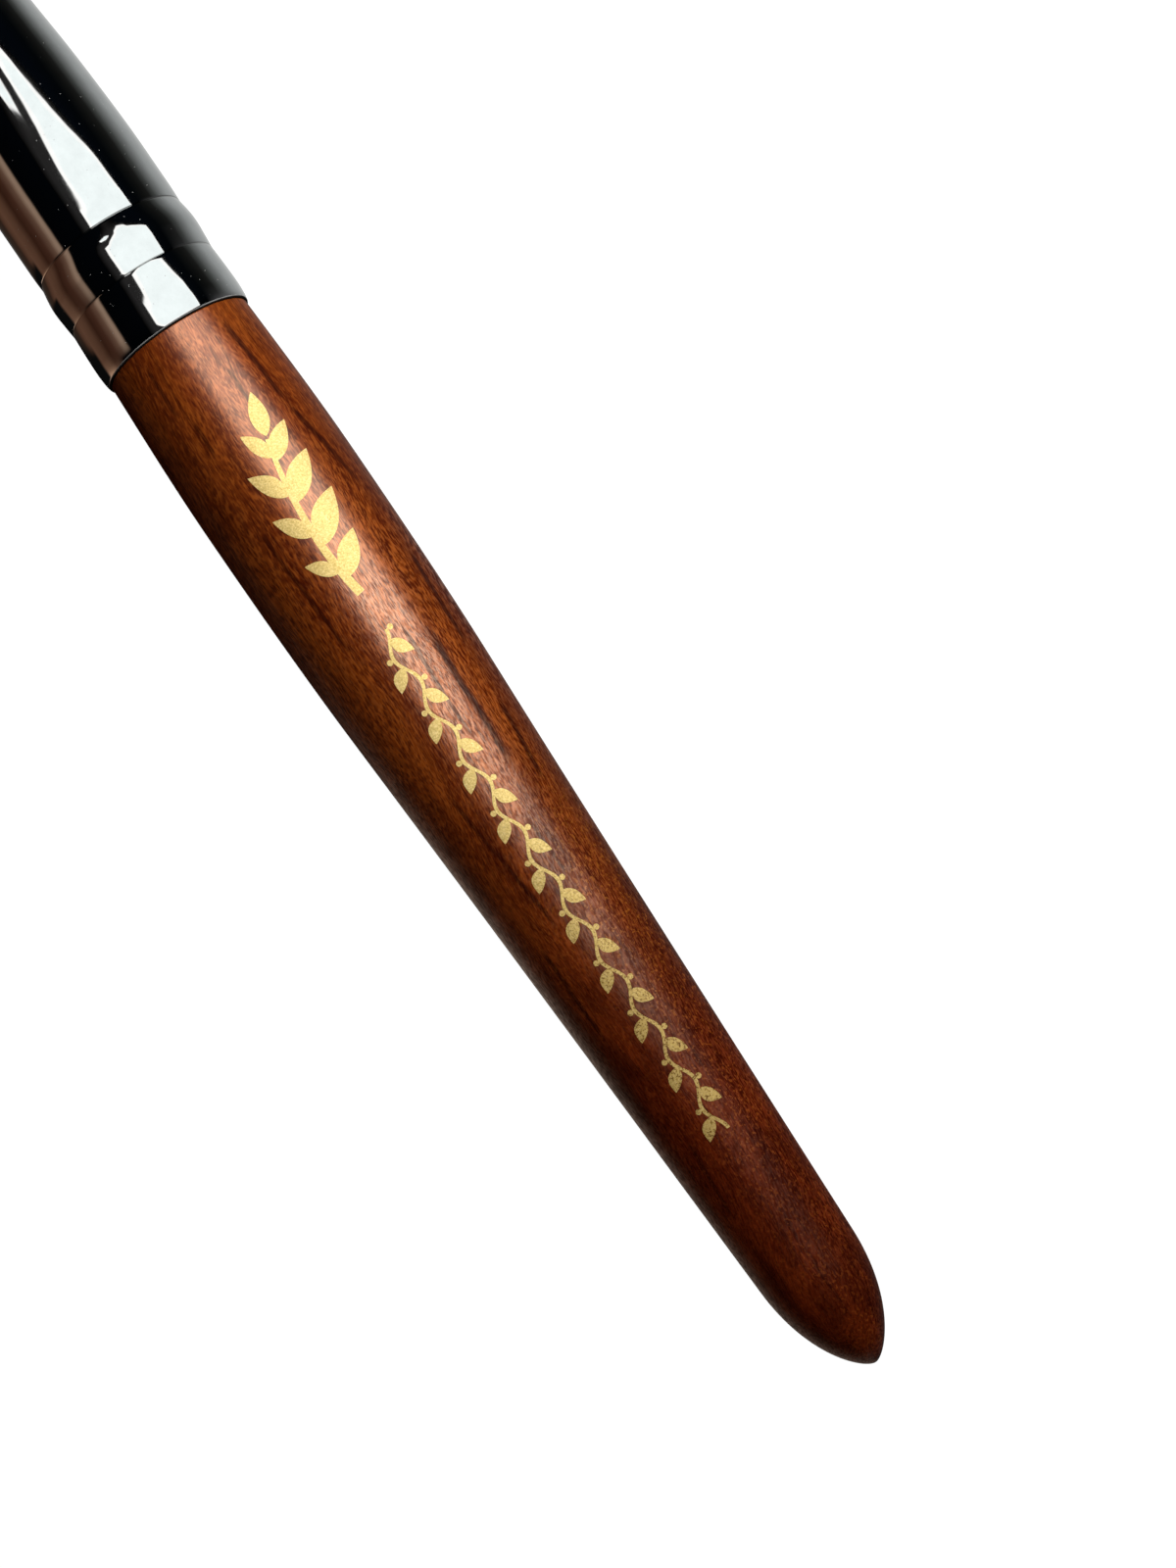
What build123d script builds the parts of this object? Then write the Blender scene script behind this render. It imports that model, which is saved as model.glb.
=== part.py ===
from build123d import *
from typing import NamedTuple
import os

# A round calligraphy brush lying on its side, in millimetres, +Z up.
# A turned hardwood handle is glued and crimped into a seamless nickel-plated ferrule. The ferrule
# holds a pointed round of hair, tied with thread and set in resin.
# +X runs along the brush from the butt of the handle to the point of the hair. The origin is on the
# surface that the brush lies on, under the middle of its length.
# A place along the brush is its "reach": how far it is from the seam where wood meets ferrule,
# positive towards the hair and negative towards the butt.

# Handle: a swell just behind the ferrule, a straight taper, and a blunt point.
handle_length = 105.0
seam_step = 0.25            # how far the wood is below the ferrule's rim
seam_slope = 0.041          # how fast the wood grows thicker as it leaves the ferrule
swell_from_seam = 15.35
swell_radius = 7.25
swell_to_taper = 21.5
taper_drop = 0.37           # how much thinner the taper is at its thick end than the swell
dome_length = 10.4          # from the thin end of the taper to the butt
dome_radius = 4.77
dome_fullness = 6.95        # how far the line of the taper carries on into the dome
butt_bluntness = 0.98       # how far the end rises straight off the axis

# Ferrule: collar, rolled bead between two creases, plain barrel, then two tapers to the mouth.
# Heights and depths are measured from the barrel.
ferrule_length = 46.0
barrel_radius = 7.05
wall = 0.40
rim_height = 0.00
rim_land = 0.35
rim_to_collar = 1.35
collar_height = 0.10
collar_length = 4.15        # falls in a straight line to the rear crease
rear_crease_depth = 0.02
crease_to_bead = 2.35
bead_slope = 0.120          # of the bead where it rises out of the rear crease
bead_height = 0.17
bead_to_shelf = 1.85
shelf_depth = 0.025
shelf_length = 0.85         # falls in a straight line to the front crease
front_crease_depth = 0.06
crease_to_barrel = 0.7
barrel_slope = 0.120        # of the barrel where it rises out of the front crease
barrel_length = 4.0
neck_length = 8.3           # first, slight taper
neck_drop = 0.28
bend_length = 4.1           # from the slight taper to the steep one
bend_drop = 0.27
mouth_radius = 5.0
rim_round = 0.26
lip_chamfer = 0.12
edge_margin = 0.10          # metal left uncut on a cut edge

# Hair: a belly in front of the mouth, a long cone to the point, and a tied root in the ferrule.
tuft_length = 31.0
hair_clearance = 0.04       # between the hair and the lip of the mouth
hair_flare = 0.135          # slope at which the hair leaves the mouth
belly_from_mouth = 6.8
belly_height = 0.49         # of the belly over the hair in the mouth
belly_to_cone = 10.5
cone_drop = 1.25            # how much thinner the cone is at its thick end than the belly
point_radius = 0.12
root_length = 15.0          # hair held inside the ferrule
waist_from_butt = 4.6
waist_depth = 0.41          # how far the thread pulls the root in
butt_spread = 0.20          # how far the cut ends stand out past the waist

# Thread wound side by side round the waist, and the resin that it and the root are set in.
thread_diameter = 0.34
thread_turns = 8
resin_behind_butt = 2.4
resin_past_waist = 2.2

# Tenon of the handle, and the glue that fills the room between it and the ferrule.
tenon_clearance = 0.04      # under the front crease, where the ferrule is narrowest
nose_length = 3.2           # tapers on past the barrel
nose_taper = 1.9
glue_stops_short = 0.5      # of the nose

collar_reach = rim_land + rim_to_collar
rear_crease_reach = collar_reach + collar_length
bead_reach = rear_crease_reach + crease_to_bead
shelf_reach = bead_reach + bead_to_shelf
front_crease_reach = shelf_reach + shelf_length
barrel_reach = front_crease_reach + crease_to_barrel
neck_reach = barrel_reach + barrel_length
bend_reach = neck_reach + neck_length
cone_reach = bend_reach + bend_length

rim_radius = barrel_radius + rim_height
bead_radius = barrel_radius + bead_height
collar_slope = (collar_height + rear_crease_depth) / collar_length
shelf_slope = (front_crease_depth - shelf_depth) / shelf_length
neck_slope = neck_drop / neck_length
cone_height = -neck_drop - bend_drop
cone_slope = (barrel_radius + cone_height - mouth_radius) / (ferrule_length - cone_reach)

hair_in_mouth = mouth_radius - wall - hair_clearance
belly_radius = hair_in_mouth + belly_height
waist_radius = hair_in_mouth - waist_depth
waist_length = thread_diameter * thread_turns

butt_reach = ferrule_length - root_length
waist_reach = butt_reach + waist_from_butt
waist_end = waist_reach + waist_length
resin_back = butt_reach - resin_behind_butt
resin_front = waist_end + resin_past_waist

tenon_radius = barrel_radius - max(front_crease_depth, rear_crease_depth) - wall - tenon_clearance

overall_length = handle_length + ferrule_length + tuft_length
axis_height = max(swell_radius, bead_radius, barrel_radius + collar_height)
seam_x = handle_length - overall_length / 2
brush_axis = Axis((0, 0, axis_height), (1, 0, 0))


class Station(NamedTuple):
    """A place on an outline: its reach, its radius, and the slope of the outline there."""
    reach: float
    radius: float
    slope: float = 0.0


def at(reach, radius):
    """The point of an outline at this reach and radius, in the upright plane through the axis."""
    return Vector(seam_x + reach, 0, axis_height + radius)


def straight(start, end):
    """A straight edge between two stations."""
    return Line(at(start.reach, start.radius), at(end.reach, end.radius))


def flow(start, end):
    """A smooth edge between two stations, on the slope of each."""
    third = (end.reach - start.reach) / 3
    return Bezier(
        at(start.reach, start.radius),
        at(start.reach + third, start.radius + start.slope * third),
        at(end.reach - third, end.radius - end.slope * third),
        at(end.reach, end.radius),
    )


def turned(edges, corners):
    """The solid turned from an outline: its edges in order, then corners back to where it starts."""
    chain = Wire(edges)
    back = Polyline(chain @ 1, *[at(*corner) for corner in corners], chain @ 0)
    return revolve(Face(Wire([*chain.edges(), *back.edges()])), brush_axis)


def disc(radius, start_reach, end_reach):
    """A plain disc between two places along the brush."""
    rim = straight(Station(start_reach, radius), Station(end_reach, radius))
    return turned([rim], [(end_reach, 0), (start_reach, 0)])


def tube_core(inset):
    """Everything inside the ferrule's outer surface, once that surface is moved in by inset."""

    def surface(reach, height, slope=0.0):
        return Station(reach, barrel_radius + height - inset, slope)

    rim = surface(0, rim_height)
    land = surface(rim_land, rim_height)
    collar = surface(collar_reach, collar_height, -collar_slope)
    rear_crease = surface(rear_crease_reach, -rear_crease_depth, bead_slope)
    bead = surface(bead_reach, bead_height)
    shelf = surface(shelf_reach, -shelf_depth, -shelf_slope)
    front_crease = surface(front_crease_reach, -front_crease_depth, barrel_slope)
    barrel = surface(barrel_reach, 0)
    neck = surface(neck_reach, 0)
    bend = surface(bend_reach, -neck_drop, -neck_slope)
    cone = surface(cone_reach, cone_height, -cone_slope)
    mouth = Station(ferrule_length, mouth_radius - inset)
    edges = [
        straight(rim, land),
        flow(land, collar),
        straight(collar, rear_crease),
        flow(rear_crease, bead),
        flow(bead, shelf),
        straight(shelf, front_crease),
        flow(front_crease, barrel),
        straight(barrel, neck),
        straight(neck, bend),
        flow(bend, cone),
        straight(cone, mouth),
    ]
    return turned(edges, [(ferrule_length, 0), (0, 0)])


def ferrule():
    """Drawn tube, open at both ends, with a rounded rim and the lips of its mouth eased."""
    tube = tube_core(0) - tube_core(wall)
    rims = tube.edges().filter_by(GeomType.CIRCLE)
    rim = rims.group_by(Axis.X)[0].sort_by(SortBy.RADIUS)[-1]
    lips = rims.group_by(Axis.X)[-1]
    flat = wall - edge_margin
    eased = tube.chamfer(min(lip_chamfer, flat / 2), None, lips)
    return eased.fillet(min(rim_round, rim_land - edge_margin / 2, flat), [rim])


def handle():
    """Wood turned in one piece: the grip, and the plain tenon that the ferrule is crimped on to."""
    tip = -handle_length
    dome_reach = tip + dome_length
    taper_reach = -swell_from_seam - swell_to_taper
    taper_radius = swell_radius - taper_drop
    taper_slope = (taper_radius - dome_radius) / (taper_reach - dome_reach)
    dome = Station(dome_reach, dome_radius, taper_slope)
    taper = Station(taper_reach, taper_radius, taper_slope)
    swell = Station(-swell_from_seam, swell_radius)
    seam = Station(0, rim_radius - seam_step, -seam_slope)
    butt = Bezier(
        at(tip, 0),
        at(tip, butt_bluntness),
        at(dome_reach - dome_fullness, dome_radius - taper_slope * dome_fullness),
        at(dome_reach, dome_radius),
    )
    grip = turned([butt, straight(dome, taper), flow(taper, swell), flow(swell, seam)], [(0, 0)])
    nose = Station(neck_reach, tenon_radius)
    nose_end = Station(neck_reach + nose_length, tenon_radius - nose_taper)
    tenon = turned(
        [straight(Station(0, tenon_radius), nose), straight(nose, nose_end)],
        [(nose_end.reach, 0), (0, 0)],
    )
    return grip + tenon


def tenon_glue():
    """Glue between tenon and ferrule: a thin film that is thicker under the bead."""
    glue_end = neck_reach - glue_stops_short
    return (tube_core(wall) & disc(2 * axis_height, 0, glue_end)) - disc(tenon_radius, 0, glue_end)


def hair_tuft():
    """The whole bundle of hair, from the cut ends inside the ferrule to the point."""
    butt = Station(butt_reach, waist_radius + butt_spread)
    waist = Station(waist_reach, waist_radius)
    waist_front = Station(waist_end, waist_radius)
    mouth = Station(ferrule_length, hair_in_mouth, hair_flare)
    belly = Station(ferrule_length + belly_from_mouth, belly_radius)
    tip = ferrule_length + tuft_length
    cone_start = belly.reach + belly_to_cone
    slope = (point_radius + cone_drop - belly_radius) / (tip - cone_start)
    cone = Station(cone_start, belly_radius - cone_drop, slope)
    edges = [
        straight(butt, waist),
        straight(waist, waist_front),
        flow(waist_front, mouth),
        flow(mouth, belly),
        flow(belly, cone),
        straight(cone, Station(tip, point_radius)),
    ]
    return turned(edges, [(tip, 0), (butt_reach, 0)])


def root_binding():
    """Thread wound in one layer round the waist of the root."""
    return disc(waist_radius + thread_diameter, waist_reach, waist_end) - disc(
        waist_radius, waist_reach, waist_end
    )


def root_resin():
    """Resin poured in behind the hair. It closes the cut ends and has crept up round the root."""
    poured = tube_core(wall) & disc(2 * axis_height, resin_back, resin_front)
    return poured - hair_tuft() - disc(waist_radius + thread_diameter, waist_reach, waist_end)


pieces = {
    "handle": handle,
    "ferrule": ferrule,
    "tenon_glue": tenon_glue,
    "hair_tuft": hair_tuft,
    "root_binding": root_binding,
    "root_resin": root_resin,
}

os.makedirs("parts", exist_ok=True)
for name, make in pieces.items():
    export_step(make(), f"parts/{name}.step")
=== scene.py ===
import bmesh
import bpy
import math
from mathutils import Matrix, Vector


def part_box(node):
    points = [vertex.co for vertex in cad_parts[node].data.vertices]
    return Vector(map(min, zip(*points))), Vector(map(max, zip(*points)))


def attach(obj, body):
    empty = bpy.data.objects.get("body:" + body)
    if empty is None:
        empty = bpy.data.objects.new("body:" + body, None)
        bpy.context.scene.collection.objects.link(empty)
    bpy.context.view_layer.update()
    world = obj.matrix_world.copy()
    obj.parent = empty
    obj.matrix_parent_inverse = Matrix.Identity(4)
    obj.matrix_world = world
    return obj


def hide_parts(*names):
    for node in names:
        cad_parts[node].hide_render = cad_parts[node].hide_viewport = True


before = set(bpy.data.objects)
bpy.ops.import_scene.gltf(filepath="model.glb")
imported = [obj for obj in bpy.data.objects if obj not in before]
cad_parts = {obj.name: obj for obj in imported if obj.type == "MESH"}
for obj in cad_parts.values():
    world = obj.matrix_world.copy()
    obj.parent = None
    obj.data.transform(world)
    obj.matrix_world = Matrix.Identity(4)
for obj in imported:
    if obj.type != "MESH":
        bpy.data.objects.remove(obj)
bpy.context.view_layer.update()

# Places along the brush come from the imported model. A reach is in mm from the seam between wood
# and ferrule, positive towards the hair. Radii are in mm too.
mm = 0.001
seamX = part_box("ferrule")[0].x
mouthReach = (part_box("ferrule")[1].x - seamX) / mm
buttReach = (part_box("handle")[0].x - seamX) / mm
tipReach = (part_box("hair_tuft")[1].x - seamX) / mm
axisZ = (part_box("ferrule")[0].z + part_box("ferrule")[1].z) / 2


# Small helpers: nodes

def addNode(tree, kind, inputs=(), **settings):
    node = tree.nodes.new(kind)
    for name, value in settings.items():
        setattr(node, name, value)
    for name, value in dict(inputs).items():
        plug(tree, node.inputs[name], value)
    return node


def plug(tree, socket, value):
    if isinstance(value, bpy.types.NodeSocket):
        tree.links.new(value, socket)
    else:
        socket.default_value = value


def first(tree, kind, inputs=(), **settings):
    # adds a node and gives its first output
    return addNode(tree, kind, inputs, **settings).outputs[0]


def geo(tree, kind, inputs=(), **settings):
    return first(tree, "GeometryNode" + kind, inputs, **settings)


def calc(tree, operation, *values, clamp=False):
    inputs = dict(enumerate(values))
    return first(tree, "ShaderNodeMath", inputs, operation=operation, use_clamp=clamp)


def times(tree, value, *factors):
    for factor in factors:
        value = calc(tree, "MULTIPLY", value, factor)
    return value


def partWay(tree, share, start, end):
    return calc(tree, "MULTIPLY_ADD", share, calc(tree, "SUBTRACT", end, start), start)


def vectorCalc(tree, operation, start, end):
    return first(tree, "ShaderNodeVectorMath", {0: start, 1: end}, operation=operation)


def scaled(tree, vector, scale, shift=(0, 0, 0)):
    return first(tree, "ShaderNodeMapping", {"Vector": vector, "Scale": scale, "Location": shift})


def noise(tree, vector, scale=1.0, detail=2.0, roughness=0.5):
    inputs = {"Vector": vector, "Scale": scale, "Detail": detail, "Roughness": roughness}
    return first(tree, "ShaderNodeTexNoise", inputs)


def patterned(tree, vector, pattern):
    # noise by a pattern's stretch, shift, detail and roughness
    stretch, shift, detail, roughness = pattern
    return noise(tree, scaled(tree, vector, stretch, shift), 1.0, detail, roughness)


def cells(tree, vector, scale=1.0):
    return addNode(tree, "ShaderNodeTexVoronoi", {"Vector": vector, "Scale": scale}).outputs


def between(tree, value, low, high, toLow=0.0, toHigh=1.0):
    # eased step from low to high
    inputs = {"Value": value, "From Min": low, "From Max": high, "To Min": toLow, "To Max": toHigh}
    return first(tree, "ShaderNodeMapRange", inputs, interpolation_type="SMOOTHSTEP")


def mixColour(tree, factor, under, over, blend="MIX"):
    inputs = {0: factor, 6: under, 7: over}
    return addNode(tree, "ShaderNodeMix", inputs, data_type="RGBA", blend_type=blend).outputs[2]


def colourRamp(tree, factor, stops):
    node = addNode(tree, "ShaderNodeValToRGB", {0: factor})
    ramp = node.color_ramp
    while len(ramp.elements) < len(stops):
        ramp.elements.new(1.0)
    for element, (place, colour) in zip(ramp.elements, stops):
        element.position = place
        element.color = (*colour, 1.0)
    return node.outputs[0]


def newMaterial(name, flat, kind="ShaderNodeBsdfPrincipled"):
    # a material of one bare shader; flat is its colour in the solid viewport
    material = bpy.data.materials.new(name)
    material.use_nodes = True
    material.diffuse_color = (*flat, 1.0)
    tree = material.node_tree
    tree.nodes.clear()
    shader = addNode(tree, kind)
    addNode(tree, "ShaderNodeOutputMaterial", {"Surface": shader.outputs[0]})
    return material, tree, shader


def setShader(tree, shader, **values):
    for name, value in values.items():
        plug(tree, shader.inputs[name.replace("_", " ")], value)


def brushSpace(tree):
    # object coordinates in mm, from the seam along the brush and from its axis
    place = addNode(tree, "ShaderNodeTexCoord").outputs["Object"]
    centred = vectorCalc(tree, "SUBTRACT", place, (seamX, 0, axisZ))
    return scaled(tree, centred, (1 / mm, 1 / mm, 1 / mm))


def bump(tree, height, distance, strength=1.0):
    inputs = {"Height": height, "Distance": distance * mm, "Strength": strength}
    return first(tree, "ShaderNodeBump", inputs)


# Small helpers: outlines and meshes

def bezier(a, b, c, d, steps):
    points = []
    for i in range(1, steps + 1):
        t = i / steps
        weights = ((1 - t) ** 3, 3 * t * (1 - t) ** 2, 3 * t * t * (1 - t), t ** 3)
        points.append(tuple(sum(w * p[k] for w, p in zip(weights, (a, b, c, d))) for k in (0, 1)))
    return points


def flow(start, end, steps):
    # smooth span between two stations (reach, radius, slope), without its first point
    third = (end[0] - start[0]) / 3
    return bezier(start[:2], (start[0] + third, start[1] + start[2] * third),
                  (end[0] - third, end[1] - end[2] * third), end[:2], steps)


def through(start, *spans):
    # smooth line from a station through others, each given with its number of steps
    points = []
    for station, steps in spans:
        points += flow(start, station, steps)
        start = station
    return points


def rounded(start, corner, end, steps):
    # round over a corner
    pull = 0.55
    near = tuple(a + (b - a) * pull for a, b in zip(start, corner))
    far = tuple(a + (b - a) * pull for a, b in zip(end, corner))
    return bezier(start, near, far, end, steps)


def lineObject(name, points):
    # a chain of edges in the upright plane through the axis, from (reach, radius) points
    mesh = bpy.data.meshes.new(name)
    places = [(seamX + reach * mm, 0, radius * mm) for reach, radius in points]
    mesh.from_pydata(places, [(i, i + 1) for i in range(len(places) - 1)], [])
    made = bpy.data.objects.new(name, mesh)
    bpy.context.scene.collection.objects.link(made)
    return made


def newTree(name, **sockets):
    # a geometry node tree and its inputs, which are named by kind, as in Float="Start Length"
    tree = bpy.data.node_groups.new(name, "GeometryNodeTree")
    tree.interface.new_socket("Geometry", in_out="INPUT", socket_type="NodeSocketGeometry")
    for kind, labels in sockets.items():
        for label in labels.split():
            tree.interface.new_socket(label, in_out="INPUT", socket_type="NodeSocket" + kind)
    tree.interface.new_socket("Geometry", in_out="OUTPUT", socket_type="NodeSocketGeometry")
    return tree, addNode(tree, "NodeGroupInput").outputs


def endTree(tree, geometry, material):
    real = geo(tree, "RealizeInstances", {0: geometry})
    painted = geo(tree, "SetMaterial", {"Geometry": real, "Material": material})
    addNode(tree, "NodeGroupOutput", {0: painted})


def grow(piece, tree, **values):
    # runs the tree on the piece once and keeps the result as its plain mesh
    modifier = piece.modifiers.new(tree.name, "NODES")
    modifier.node_group = tree
    for item in tree.interface.items_tree:
        if item.in_out == "INPUT" and item.name in values:
            modifier[item.identifier] = values.pop(item.name)
    assert not values, f"{tree.name} has no input for {list(values)}"
    graph = bpy.context.evaluated_depsgraph_get()
    made = bpy.data.meshes.new_from_object(piece.evaluated_get(graph))
    piece.modifiers.clear()
    piece.data = made
    made.name = piece.name
    print(f"  {piece.name}: {len(made.polygons)} faces")
    return piece


def combine(tree, x, y, z):
    return first(tree, "ShaderNodeCombineXYZ", {0: x, 1: y, 2: z})


def separate(tree, vector):
    return addNode(tree, "ShaderNodeSeparateXYZ", {0: vector}).outputs


def turnRound(tree, place):
    # angle round the axis: 0 is the top, and a quarter turn is -Y
    _, y, z = separate(tree, place)
    return calc(tree, "ARCTAN2", times(tree, y, -1), z)


def aroundAxis(tree, x, radius, angle):
    # angle 0 is the top, and a quarter turn is +Y
    y = times(tree, radius, calc(tree, "SINE", angle))
    z = calc(tree, "MULTIPLY_ADD", radius, calc(tree, "COSINE", angle), axisZ)
    return combine(tree, x, y, z)


def pointOf(tree, geometry, index):
    # x, y and z of one of the geometry's points
    inputs = {"Geometry": geometry, "Value": geo(tree, "InputPosition"), "Index": index}
    return separate(tree, geo(tree, "SampleIndex", inputs, data_type="FLOAT_VECTOR", clamp=True))


def latheTree():
    # turns the input's chain of points round the brush's axis
    tree, given = newTree("turnOnLathe", Int="Segments", Material="Material")
    rings = geo(tree, "AttributeDomainSize", {0: given["Geometry"]}, component="MESH")
    size = {"Size X": 1.0, "Size Y": 1.0, "Vertices X": rings,
            "Vertices Y": calc(tree, "ADD", given["Segments"], 1)}
    grid = addNode(tree, "GeometryNodeMeshGrid", size).outputs
    across, up, _ = separate(tree, geo(tree, "InputPosition"))
    ring = times(tree, calc(tree, "ADD", across, 0.5), calc(tree, "SUBTRACT", rings, 1))
    angle = times(tree, calc(tree, "ADD", up, 0.5), math.tau)
    x, _, radius = pointOf(tree, given["Geometry"], calc(tree, "ROUND", ring))
    marked = geo(tree, "StoreNamedAttribute",
                 {"Geometry": grid["Mesh"], "Name": "UVMap", "Value": grid["UV Map"]},
                 data_type="FLOAT2", domain="CORNER")
    place = aroundAxis(tree, x, radius, angle)
    placed = geo(tree, "SetPosition", {"Geometry": marked, "Position": place})
    closed = geo(tree, "MergeByDistance", {"Geometry": placed, "Distance": 1e-7})
    endTree(tree, geo(tree, "SetShadeSmooth", {"Geometry": closed}), given["Material"])
    return tree


# Camera, floor and light

cameraSetup = {
    "place": (-0.03648, -0.00760),    # x and y it looks straight down from
    "height": 0.1922,                 # above the brush's axis
    "right": (-0.5652, -0.8249, 0.0),
    "up": (0.8249, -0.5652, 0.0),
    "lens": 51.75,
    "sensor": 36,
    "nearest": 0.01,
}

studio = {
    "floorSize": 3.0,
    "floorGlow": 1.0,
    "backdrop": (1.0, 1.0, 1.0, 1.0),
    "windowHeight": 0.5,              # above the axis
    "pane": (0.975, 1.040, 1.020, 1.0),
    "paneRim": (1.12, 1.11, 1.07, 1.0),
    "frameColour": (1.05, 1.0, 0.98, 1.0),
    "frameGlow": 0.017,
    "panes": (                        # name, soft edge, rise over the window's height, corners (x, -y)
        ("window", 0.05, 0.0,
         [(-0.12, 0.0), (0.05, -0.07), (0.19, -0.06), (0.204, 0.0), (0.238, 0.032), (0.284, 0.094),
          (0.306, 0.126), (0.345, 0.15), (0.40, 0.23), (0.402, 0.33), (0.366, 0.375), (0.364, 0.445),
          (0.355, 0.527), (0.350, 0.657), (0.335, 0.80), (-0.12, 0.80)]),
        ("windowSide", 0.010, 0.0,
         [(0.280, 0.010), (0.292, 0.036), (0.305, 0.062), (0.317, 0.062), (0.330, 0.02),
          (0.315, -0.075), (0.288, -0.056)]),
        ("windowFrame", 0.08, 0.02,
         [(-0.15, -0.20), (0.20, -0.19), (0.30, -0.16), (0.46, 0.10), (0.43, 0.46), (0.39, 0.88),
          (-0.15, 0.88)])),
    "windowLamp": {"shape": "RECTANGLE", "width": 0.400, "depth": 0.71, "power": 16.8,
                   "colour": (1.0, 0.97, 0.76)},
    "windowLampPlace": (0.150, -0.385),
    "windowLampDrop": 0.004,          # below the panes, which would shade it
    "softLamp": {"shape": "DISK", "width": 0.09, "depth": 0.09, "power": 0.153,
                 "colour": (1.0, 0.97, 0.93)},
    "softLampPlace": (0.004, -0.070, 0.105),
    "softLampAim": -0.01,             # x on the axis
    # what is mirrored, by the share of a turn round the brush: 0.5 is straight up, 0.75 is -Y
    "sideRoom": (
        (0.0, (0.10, 0.095, 0.09)), (0.03, (0.09, 0.087, 0.083)), (0.08, (0.03, 0.020, 0.015)),
        (0.125, (0.028, 0.015, 0.010)), (0.15, (0.075, 0.034, 0.020)), (0.175, (0.098, 0.046, 0.027)),
        (0.214, (0.078, 0.036, 0.021)), (0.248, (0.030, 0.011, 0.006)), (0.279, (0.048, 0.019, 0.011)),
        (0.307, (0.105, 0.056, 0.036)), (0.327, (0.25, 0.165, 0.115)), (0.338, (0.22, 0.145, 0.10)),
        (0.345, (0.0005, 0.0007, 0.0010)), (0.66, (0.0008, 0.0016, 0.0030)),
        (0.70, (0.0010, 0.0016, 0.0022)), (0.735, (0.0050, 0.0052, 0.0048)),
        (0.76, (0.0098, 0.0100, 0.0092)), (0.785, (0.045, 0.048, 0.045)), (0.82, (0.145, 0.151, 0.148)),
        (0.86, (0.28, 0.292, 0.287)), (0.91, (0.37, 0.38, 0.375)), (0.96, (0.50, 0.51, 0.50))),
    "endRoom": (
        (0.0, (0.95, 0.81, 0.68)), (0.06, (0.92, 0.75, 0.61)), (0.13, (0.94, 0.68, 0.52)),
        (0.18, (0.50, 0.29, 0.18)), (0.24, (0.10, 0.050, 0.030)), (0.29, (0.0005, 0.0007, 0.0010)),
        (0.70, (0.0005, 0.0007, 0.0010)), (0.82, (0.10, 0.10, 0.10)), (1.0, (0.30, 0.29, 0.28))),
    "endToSide": (-0.10, 0.25),       # by x, how far the ray points along the brush
    "lowDark": (0.003, 0.003, 0.003, 1),
    "lowShare": (0.156, 0.180, 1.0, 0.0),    # the dark patch, by share and by that same x
    "lowFrom": (0.0, 0.05),
    "lowTo": (0.280, 0.315, 1.0, 0.0),
    "diffuseDim": 0.35,               # how much less of the room lights the brush
}


def setCamera():
    data = bpy.data.cameras.new("photoCamera")
    data.lens = cameraSetup["lens"]
    data.sensor_width = cameraSetup["sensor"]
    data.clip_start = cameraSetup["nearest"]
    camera = bpy.data.objects.new("photoCamera", data)
    bpy.context.scene.collection.objects.link(camera)
    columns = (cameraSetup["right"], cameraSetup["up"], (0, 0, 1))
    turn = Matrix(columns).transposed().to_4x4()
    x, y = cameraSetup["place"]
    camera.matrix_world = Matrix.Translation((x, y, axisZ + cameraSetup["height"])) @ turn
    bpy.context.scene.camera = camera


def glowMaterial(name, shade):
    # plain light; shade gives its colour and strength from the "inside" mark of the mesh
    material, tree, shader = newMaterial(name, (1, 1, 1), "ShaderNodeEmission")
    inside = addNode(tree, "ShaderNodeAttribute", attribute_name="inside").outputs["Fac"]
    colour, strength = shade(tree, inside)
    setShader(tree, shader, Color=colour, Strength=strength)
    return material


def soften(mesh, width):
    # marks the mesh 0 along its rim and 1 from the given width inwards
    work = bmesh.new()
    work.from_mesh(mesh)
    inside = work.verts.layers.float.new("inside")
    bmesh.ops.inset_region(work, faces=list(work.faces), thickness=width, use_boundary=True,
                           use_even_offset=True)
    for vert in work.verts:
        vert[inside] = 0.0 if vert.is_boundary else 1.0
    work.to_mesh(mesh)
    work.free()


def stagePiece(name, corners, material, edge=0.0):
    mesh = bpy.data.meshes.new(name)
    mesh.from_pydata(corners, [], [tuple(range(len(corners)))])
    if edge:
        soften(mesh, edge)
    mesh.materials.append(material)
    made = bpy.data.objects.new(name, mesh)
    bpy.context.scene.collection.objects.link(made)
    return made


def layFloor():
    material, tree, shader = newMaterial("paleFloor", (0.95, 0.95, 0.95))
    setShader(tree, shader, Base_Color=(0.10, 0.10, 0.10, 1), Roughness=0.9, Specular_IOR_Level=0.0,
              Emission_Color=(1, 1, 1, 1), Emission_Strength=studio["floorGlow"])
    half = studio["floorSize"] / 2
    corners = [(-half, -half, 0), (half, -half, 0), (half, half, 0), (-half, half, 0)]
    floor = stagePiece("floor", corners, material)
    floor.visible_glossy = False      # the polished metal shows the room, not the table
    floor.visible_diffuse = False


def hangWindow():
    # the window that the metal mirrors, cornerwise to the brush, with its dim frame round it
    def paneShade(tree, inside):
        rim = between(tree, inside, 0.55, 0.90)
        return mixColour(tree, rim, studio["paneRim"], studio["pane"]), between(tree, inside, 0.0, 0.22)

    def frameShade(tree, inside):
        return studio["frameColour"], times(tree, inside, studio["frameGlow"])

    bright = glowMaterial("windowGlow", paneShade)
    dim = glowMaterial("frameGlow", frameShade)
    for name, edge, rise, corners in studio["panes"]:
        z = axisZ + studio["windowHeight"] + rise
        material = dim if name == "windowFrame" else bright
        pane = stagePiece(name, [(x, -y, z) for x, y in corners], material, edge)
        pane.visible_camera = False


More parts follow.
